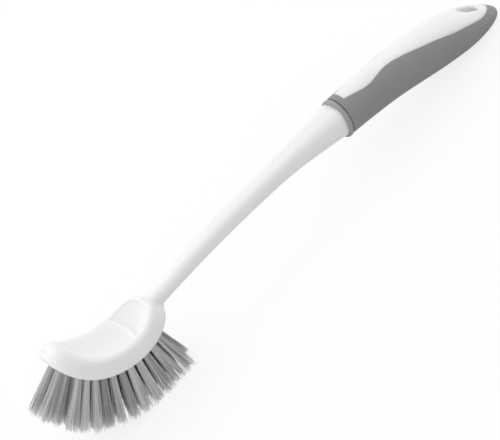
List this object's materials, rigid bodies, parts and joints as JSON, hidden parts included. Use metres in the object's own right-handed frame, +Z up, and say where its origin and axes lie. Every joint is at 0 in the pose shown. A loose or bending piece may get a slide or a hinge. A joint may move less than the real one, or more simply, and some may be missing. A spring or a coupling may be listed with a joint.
{
  "type": "pot brush",
  "caption": "Long-handled pot brush: curled saddle head with fanned bristle tufts, slender arched neck, soft-grip handle with a bare strip on top and a hanging hole.",
  "frame": {"origin": "middle of the length and width, on the surface that the brush lies on, bristles down", "axes": "+X along the brush towards the end of the handle, +Y across it, +Z up"},
  "size_m": [0.2846, 0.028, 0.0543],
  "materials": {
    "body": "white polypropylene, moulded, glossy",
    "grip": "grey soft thermoplastic rubber, matte",
    "bristles": "grey drawn filament",
    "anchors": "cut flat wire"
  },
  "bodies": {
    "root": {"brush_body": "body", "grip": "grip", "bristle_row_1": "bristles", "bristle_row_2": "bristles", "bristle_row_3": "bristles", "bristle_row_4": "bristles", "anchor_1_01": "anchors", "anchor_1_02": "anchors", "anchor_1_03": "anchors", "anchor_1_04": "anchors", "anchor_1_05": "anchors", "anchor_1_06": "anchors", "anchor_1_07": "anchors", "anchor_1_08": "anchors", "anchor_1_09": "anchors", "anchor_1_10": "anchors", "anchor_1_11": "anchors", "anchor_2_01": "anchors", "anchor_2_02": "anchors", "anchor_2_03": "anchors", "anchor_2_04": "anchors", "anchor_2_05": "anchors", "anchor_2_06": "anchors", "anchor_2_07": "anchors", "anchor_2_08": "anchors", "anchor_2_09": "anchors", "anchor_2_10": "anchors", "anchor_2_11": "anchors", "anchor_2_12": "anchors", "anchor_2_13": "anchors", "anchor_3_01": "anchors", "anchor_3_02": "anchors", "anchor_3_03": "anchors", "anchor_3_04": "anchors", "anchor_3_05": "anchors", "anchor_3_06": "anchors", "anchor_3_07": "anchors", "anchor_3_08": "anchors", "anchor_3_09": "anchors", "anchor_3_10": "anchors", "anchor_3_11": "anchors", "anchor_3_12": "anchors", "anchor_3_13": "anchors", "anchor_4_01": "anchors", "anchor_4_02": "anchors", "anchor_4_03": "anchors", "anchor_4_04": "anchors", "anchor_4_05": "anchors", "anchor_4_06": "anchors", "anchor_4_07": "anchors", "anchor_4_08": "anchors", "anchor_4_09": "anchors", "anchor_4_10": "anchors", "anchor_4_11": "anchors"}
  },
  "joints": []
}
